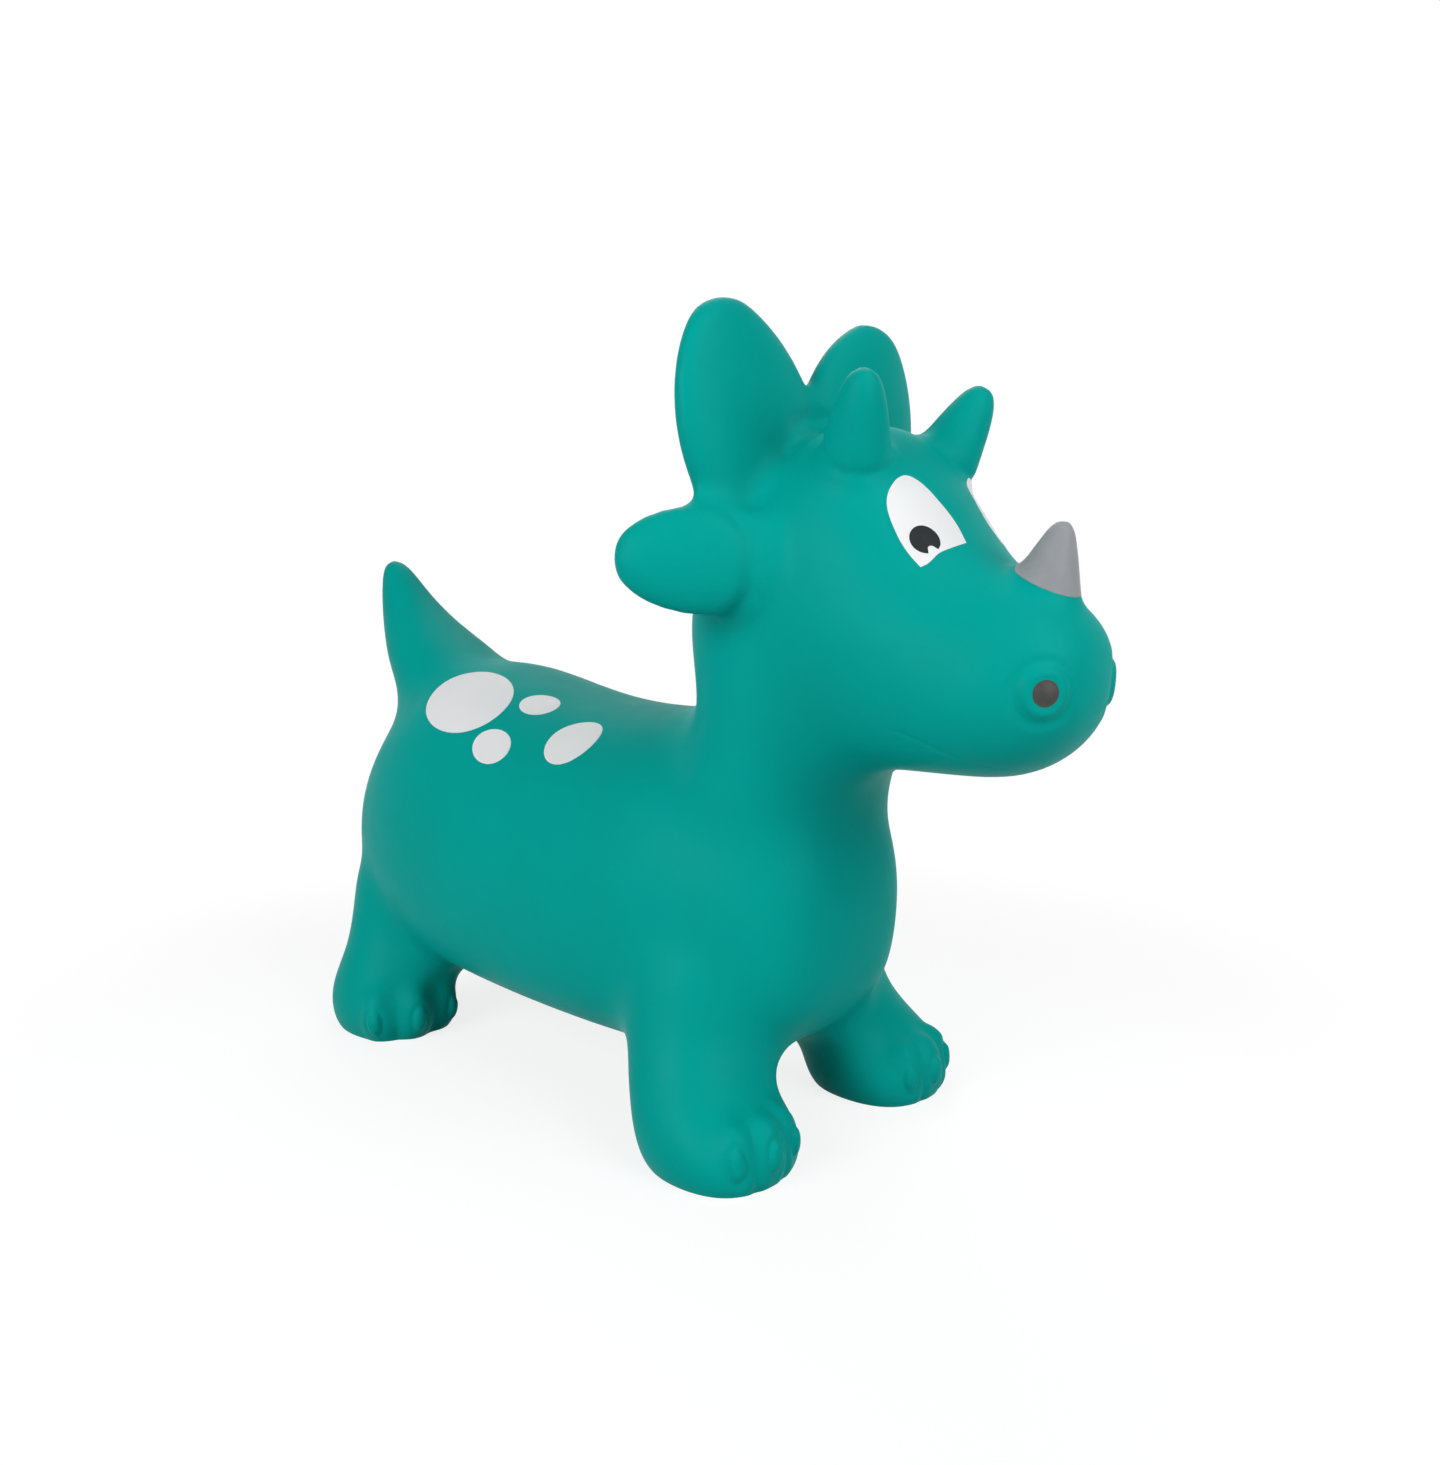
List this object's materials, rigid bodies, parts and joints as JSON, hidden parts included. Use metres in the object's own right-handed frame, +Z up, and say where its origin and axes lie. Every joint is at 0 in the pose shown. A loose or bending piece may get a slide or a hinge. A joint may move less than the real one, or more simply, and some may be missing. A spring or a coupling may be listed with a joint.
{
  "type": "bouncy ride on animal",
  "caption": "Inflatable horned animal to ride and bounce on: a hollow soft skin with ears, horns, tail and stubby feet, and an air plug under the belly.",
  "frame": {"origin": "middle of the bounding box on the floor, midway between the snout and the tip of the tail", "axes": "+Z up, the animal faces -Y, its right side is at -X"},
  "size_m": [0.2698, 0.6301, 0.4932],
  "materials": {
    "teal_skin": "satin soft PVC",
    "white_plug": "satin soft PVC",
    "white_paint": "satin paint",
    "grey_paint": "satin paint",
    "dark_paint": "satin paint",
    "black_paint": "satin paint"
  },
  "bodies": {
    "animal": {"skin": "teal_skin", "back_spot_right_1": "white_paint", "back_spot_right_2": "white_paint", "back_spot_right_3": "white_paint", "back_spot_right_4": "white_paint", "back_spot_left_1": "white_paint", "back_spot_left_2": "white_paint", "back_spot_left_3": "white_paint", "back_spot_left_4": "white_paint", "eye_white_right": "white_paint", "eye_white_left": "white_paint", "pupil_right": "black_paint", "pupil_left": "black_paint", "nostril_right": "dark_paint", "nostril_left": "dark_paint", "nose_horn": "grey_paint"},
    "plug": {"air_plug": "white_plug"}
  },
  "joints": [
    {"name": "plug_pull", "type": "slide", "parent": "animal", "child": "plug", "axis": [0, 0, -1], "range_m": [0, 0.022]}
  ]
}
